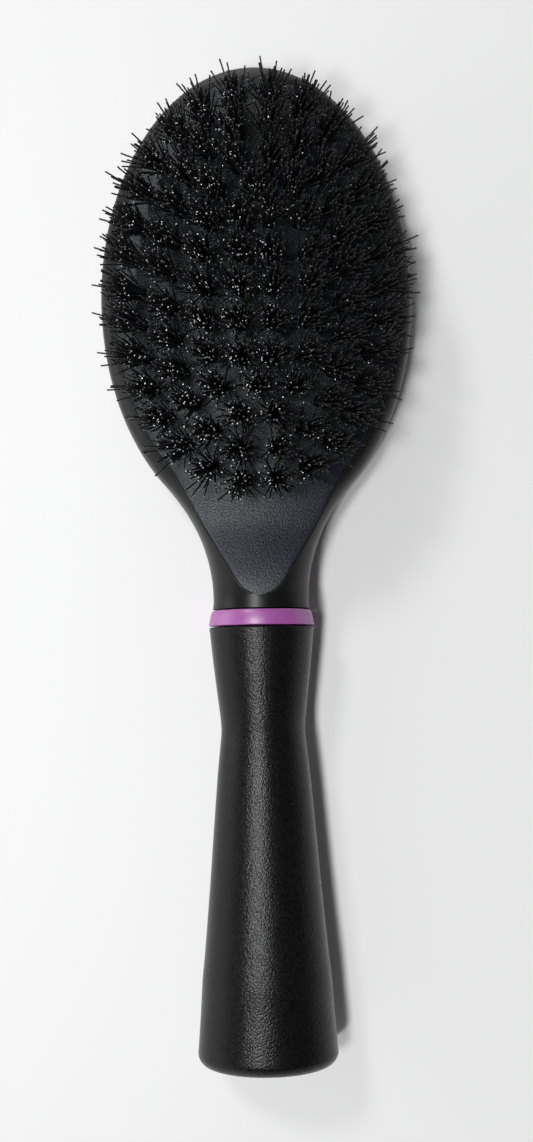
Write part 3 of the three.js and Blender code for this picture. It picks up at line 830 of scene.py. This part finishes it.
def make_grip():
    """The sleeve: the bore from its closed end to the mouth, the mouth's lip, and the outside."""
    outer, outer_pole = grip_rows(0.0, END_Y, GRIP_RINGS)
    inner, inner_pole = grip_rows(SLEEVE_WALL, CORE_END_Y - GAP, SLEEVE_BORE_RINGS)
    half_width, half_height, axis_z, slant = grip_section(GRIP_START_Y, 0.0)
    lip = []
    for inset, behind in edge_round(GRIP_LIP_RADIUS, np.linspace(0, math.pi / 2, 6)):
        lip.append((GRIP_START_Y - behind, half_width - inset, half_height - inset, axis_z, slant))
    outside = [row for row in outer if row[0] < GRIP_START_Y - GRIP_LIP_RADIUS]
    rings = [oval_ring(*row) for row in inner[::-1] + lip + outside]
    return loft("grip_sleeve_soft", rings, inner_pole, outer_pole)


# ---------------------------------------------------------------- materials

class Nodes:
    """Short calls for a procedural material's node tree, over object coordinates in metres.

    So a noise or a cell pattern's scale is about its repeats per metre, and a bump's distance is
    in metres.
    """

    def __init__(self, name):
        self.material = bpy.data.materials.new(name)
        self.material.use_nodes = True
        self.tree = self.material.node_tree
        self.shader = self.tree.nodes["Principled BSDF"]
        self.point = self.tree.nodes.new("ShaderNodeTexCoord").outputs["Object"]

    def link(self, value, socket):
        if hasattr(value, "links"):
            self.tree.links.new(value, socket)
        else:
            socket.default_value = value

    def stretched_point(self, scale):
        node = self.tree.nodes.new("ShaderNodeMapping")
        node.inputs["Scale"].default_value = scale
        self.link(self.point, node.inputs["Vector"])
        return node.outputs["Vector"]

    def noise(self, scale, detail, roughness, point=None):
        node = self.tree.nodes.new("ShaderNodeTexNoise")
        node.inputs["Scale"].default_value = scale
        node.inputs["Detail"].default_value = detail
        node.inputs["Roughness"].default_value = roughness
        self.link(point or self.point, node.inputs["Vector"])
        return node.outputs["Fac"]

    def cells(self, scale):
        node = self.tree.nodes.new("ShaderNodeTexVoronoi")
        node.inputs["Scale"].default_value = scale
        self.link(self.point, node.inputs["Vector"])
        return node.outputs["Distance"]

    def span(self, value, low, high, from_low=0.0, from_high=1.0):
        """Low to high as a value goes from from_low to from_high."""
        node = self.tree.nodes.new("ShaderNodeMapRange")
        self.link(value, node.inputs["Value"])
        node.inputs["From Min"].default_value = from_low
        node.inputs["From Max"].default_value = from_high
        node.inputs["To Min"].default_value = low
        node.inputs["To Max"].default_value = high
        return node.outputs["Result"]

    def maths(self, operation, a, b):
        node = self.tree.nodes.new("ShaderNodeMath")
        node.operation = operation
        self.link(a, node.inputs[0])
        self.link(b, node.inputs[1])
        return node.outputs[0]

    def blend(self, share, a, b):
        """Colour a where the share is 0, b where it is 1."""
        node = self.tree.nodes.new("ShaderNodeMix")
        node.data_type = "RGBA"
        self.link(share, node.inputs["Factor"])
        self.link(a, node.inputs["A"])
        self.link(b, node.inputs["B"])
        return node.outputs["Result"]

    def bump(self, height, distance, strength=1.0):
        node = self.tree.nodes.new("ShaderNodeBump")
        node.inputs["Strength"].default_value = strength
        node.inputs["Distance"].default_value = distance
        self.link(height, node.inputs["Height"])
        return node.outputs["Normal"]

    def set(self, **sockets):
        """Gives the shader its values or links, and returns the finished material."""
        for name, value in sockets.items():
            self.link(value, self.shader.inputs[name.replace("_", " ")])
        return self.material


def rgb(red, green, blue):
    return (red, green, blue, 1.0)


def shell_material():
    nodes = Nodes("satin_black_plastic")
    cloud = nodes.noise(60.0, 3.0, 0.55)
    grain = nodes.noise(5200.0, 2.0, 0.6)
    dark = rgb(0.0045, 0.0045, 0.005)
    pale = rgb(0.0075, 0.0073, 0.0072)
    colour = nodes.blend(nodes.span(cloud, 0.0, 1.0, 0.35, 0.7), dark, pale)
    roughness = nodes.span(nodes.maths("ADD", cloud, grain), 0.31, 0.4, 0.6, 1.4)
    normal = nodes.bump(grain, 0.000012)
    return nodes.set(Base_Color=colour, Roughness=roughness, Normal=normal, Specular_IOR_Level=0.28)


def face_material():
    nodes = Nodes("spark_textured_plastic")
    speck = nodes.noise(3000.0, 2.0, 0.7)
    pits = nodes.cells(2300.0)
    cloud = nodes.noise(90.0, 2.0, 0.5)
    # Colour speckle: partly the spark texture's own tone, partly painted sparkle: the pale specks, on
    # the raised grains of the bump, stand in for glints.
    dark = rgb(0.009, 0.0103, 0.0152)
    pale = rgb(0.029, 0.033, 0.050)
    colour = nodes.blend(nodes.span(speck, 0.0, 1.0, 0.4, 0.72), dark, pale)
    roughness = nodes.span(nodes.maths("ADD", cloud, speck), 0.28, 0.4, 0.7, 1.3)
    height = nodes.maths("ADD", speck, nodes.maths("MULTIPLY", pits, -0.5))
    normal = nodes.bump(height, 0.00008)
    return nodes.set(Base_Color=colour, Roughness=roughness, Normal=normal, Specular_IOR_Level=0.37)


def bristle_material():
    nodes = Nodes("glossy_black_nylon")
    tint = nodes.noise(900.0, 1.0, 0.5)
    streak = nodes.noise(3000.0, 2.0, 0.6)
    dark = rgb(0.017, 0.017, 0.0175)
    pale = rgb(0.029, 0.0285, 0.0285)
    colour = nodes.blend(nodes.span(tint, 0.0, 1.0, 0.3, 0.7), dark, pale)
    roughness = nodes.span(streak, 0.22, 0.34, 0.3, 0.7)
    return nodes.set(Base_Color=colour, Roughness=roughness, Specular_IOR_Level=0.72)


def collar_material():
    nodes = Nodes("satin_purple_plastic")
    cloud = nodes.noise(140.0, 2.0, 0.5)
    grain = nodes.noise(4200.0, 2.0, 0.6)
    dark = rgb(0.325, 0.078, 0.315)
    pale = rgb(0.38, 0.098, 0.365)
    colour = nodes.blend(nodes.span(cloud, 0.0, 1.0, 0.3, 0.7), dark, pale)
    roughness = nodes.span(nodes.maths("ADD", cloud, grain), 0.3, 0.4, 0.6, 1.4)
    normal = nodes.bump(grain, 0.00002)
    return nodes.set(Base_Color=colour, Roughness=roughness, Normal=normal, Specular_IOR_Level=1.0)


def grip_material():
    nodes = Nodes("grained_black_rubber")
    pebbles = nodes.cells(2300.0)
    fine = nodes.noise(3800.0, 2.0, 0.6)
    worn = nodes.noise(24.0, 2.0, 0.5)
    # Painted shade: the grain's hollows, low in the bump, are coloured darker than its crests.
    crest = rgb(0.0085, 0.0085, 0.009)
    painted_shade_groove = rgb(0.002, 0.002, 0.0022)
    colour = nodes.blend(nodes.span(pebbles, 0.0, 1.0, 0.1, 0.8), crest, painted_shade_groove)
    polish = nodes.maths("ADD", fine, nodes.maths("MULTIPLY", worn, 0.4))
    roughness = nodes.span(polish, 0.38, 0.2, 0.5, 0.9)
    domes = nodes.maths("MULTIPLY", pebbles, -1.0)
    height = nodes.maths("ADD", domes, nodes.maths("MULTIPLY", fine, 0.6))
    normal = nodes.bump(height, 0.000052)
    return nodes.set(Base_Color=colour, Roughness=roughness, Normal=normal, Specular_IOR_Level=0.26)


def core_material():
    nodes = Nodes("plain_dark_plastic")
    cloud = nodes.noise(110.0, 2.0, 0.5)
    grain = nodes.noise(3000.0, 2.0, 0.5)
    colour = nodes.blend(cloud, rgb(0.03, 0.03, 0.031), rgb(0.045, 0.045, 0.047))
    roughness = nodes.span(grain, 0.45, 0.6)
    normal = nodes.bump(grain, 0.00003, strength=0.5)
    return nodes.set(Base_Color=colour, Roughness=roughness, Normal=normal)


def staple_material():
    nodes = Nodes("galvanised_wire")
    drawn = nodes.noise(2500.0, 2.0, 0.6, nodes.stretched_point((1, 1, 0.2)))
    colour = nodes.blend(drawn, rgb(0.42, 0.42, 0.43), rgb(0.58, 0.58, 0.57))
    return nodes.set(Base_Color=colour, Roughness=nodes.span(drawn, 0.25, 0.45), Metallic=1.0)


def floor_material():
    nodes = Nodes("pale_floor")
    cloud = nodes.noise(9.0, 2.0, 0.5)
    colour = nodes.blend(cloud, rgb(0.90, 0.90, 0.90), rgb(0.92, 0.92, 0.92))
    return nodes.set(Base_Color=colour, Roughness=nodes.span(cloud, 0.7, 0.8), Specular_IOR_Level=0.2)


# ---------------------------------------------------------------- assembly

def place(piece, material, slot, *nodes):
    """Gives a piece its material and puts it on the brush in the place of CAD nodes; its slot is not
    used.
    """
    piece.data.materials.clear()
    piece.data.materials.append(material)
    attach(piece, "root")
    if nodes:
        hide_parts(*nodes)


def build_tufts(rings, material):
    """The bristles: one object for each tuft of the centre ring, and for each pair in the others."""
    for ring_index, tufts in enumerate(rings):
        name = TUFT_RINGS[ring_index][0]
        per_node = 1 if name == "centre" else 2
        prefix = "tuft_centre" if name == "centre" else f"tuft_pair_{name}"
        for start in range(0, len(tufts), per_node):
            parts = []
            for k in range(start, start + per_node):
                seed = 1000 * ring_index + k
                parts.append(tuft_bristles(tufts[k], np.random.default_rng(seed)))
            label = f"{start // per_node + 1:02d}"
            vertices, faces = joined(parts)
            piece = new_object(f"bristles_{name}_{label}", vertices, faces, 0.0)
            flat_cuts(piece)
            place(piece, material, "bristle", f"{prefix}_{label}")


def build_brush():
    rings = []
    for _name, count, half_width, half_length, power, phase in TUFT_RINGS:
        places = ring_places(count, half_width, half_length, power, phase)
        rings.append([make_tuft_axis(x, y) for x, y in places])
    tufts = [tuft for ring in rings for tuft in ring]

    place(make_head_shell(), shell_material(), "shell", "head_shell")
    place(make_face_plate(tufts), face_material(), "face", "face_plate")
    place(make_collar(), collar_material(), "collar", "collar_ring")
    place(make_grip(), grip_material(), "grip", "grip_sleeve")
    build_tufts(rings, bristle_material())

    staples = joined([staple(tuft, STAPLE_TURN * i) for i, tuft in enumerate(tufts)])
    place(new_object("staple_anchors", *staples), staple_material(), "core")

    core = NODES["handle_core"]
    core.data.materials.clear()
    core.data.materials.append(core_material())


# ---------------------------------------------------------------- stage

def add_floor():
    size = FLOOR_HALF_SIZE * MM
    corners = [(-size, -size, 0), (size, -size, 0), (size, size, 0), (-size, size, 0)]
    mesh = bpy.data.meshes.new("floor")
    mesh.from_pydata(corners, [], [(0, 1, 2, 3)])
    floor = bpy.data.objects.new("floor", mesh)
    bpy.context.scene.collection.objects.link(floor)
    mesh.materials.append(floor_material())


def add_camera():
    """The camera looks straight down, and its lens shows IMAGE_HEIGHT pixels at MM_PER_PIXEL."""
    data = bpy.data.cameras.new("camera")
    data.sensor_fit = "VERTICAL"
    data.sensor_height = 24.0
    data.lens = data.sensor_height * CAMERA_DISTANCE / (IMAGE_HEIGHT * MM_PER_PIXEL)
    data.clip_start = 0.005
    data.clip_end = 20.0
    camera = bpy.data.objects.new("camera", data)
    bpy.context.scene.collection.objects.link(camera)
    camera.location = Vector((CAMERA_X, CAMERA_Y, VIEW_PLANE_Z + CAMERA_DISTANCE)) * MM
    camera.rotation_euler = (0.0, 0.0, -CAMERA_ROLL)
    bpy.context.scene.camera = camera


def add_area_light(name, location, size, power):
    """A round area light that faces the origin."""
    data = bpy.data.lights.new(name, "AREA")
    data.shape = "DISK"
    data.size = size * MM
    data.energy = power
    light = bpy.data.objects.new(name, data)
    bpy.context.scene.collection.objects.link(light)
    light.location = Vector(location) * MM
    light.rotation_euler = (-Vector(location)).to_track_quat("-Z", "Y").to_euler()


def add_world():
    """Soft surroundings: pale at the horizon, more so on the left, and dim straight above."""
    world = bpy.data.worlds.new("surroundings")
    bpy.context.scene.world = world
    world.use_nodes = True
    tree = world.node_tree
    background = tree.nodes["Background"]
    coordinate = tree.nodes.new("ShaderNodeTexCoord")
    height = tree.nodes.new("ShaderNodeVectorMath")
    height.operation = "DOT_PRODUCT"
    height.inputs[1].default_value = (0.2, 0.0, 1.0)
    tree.links.new(coordinate.outputs["Generated"], height.inputs[0])
    ramp = tree.nodes.new("ShaderNodeValToRGB")
    horizon, overhead = ramp.color_ramp.elements
    horizon.position = 0.0
    horizon.color = rgb(1.2, 1.2, 1.2)
    overhead.position = 0.5
    overhead.color = rgb(0.05, 0.05, 0.053)
    tree.links.new(height.outputs["Value"], ramp.inputs[0])
    tree.links.new(ramp.outputs[0], background.inputs["Color"])
    background.inputs["Strength"].default_value = 1.0


def build_stage():
    bpy.context.scene.view_settings.view_transform = "Standard"
    add_floor()
    add_camera()
    for name, location, size, power in LIGHTS:
        add_area_light(name, location, size, power)
    add_world()


build_stage()
build_brush()
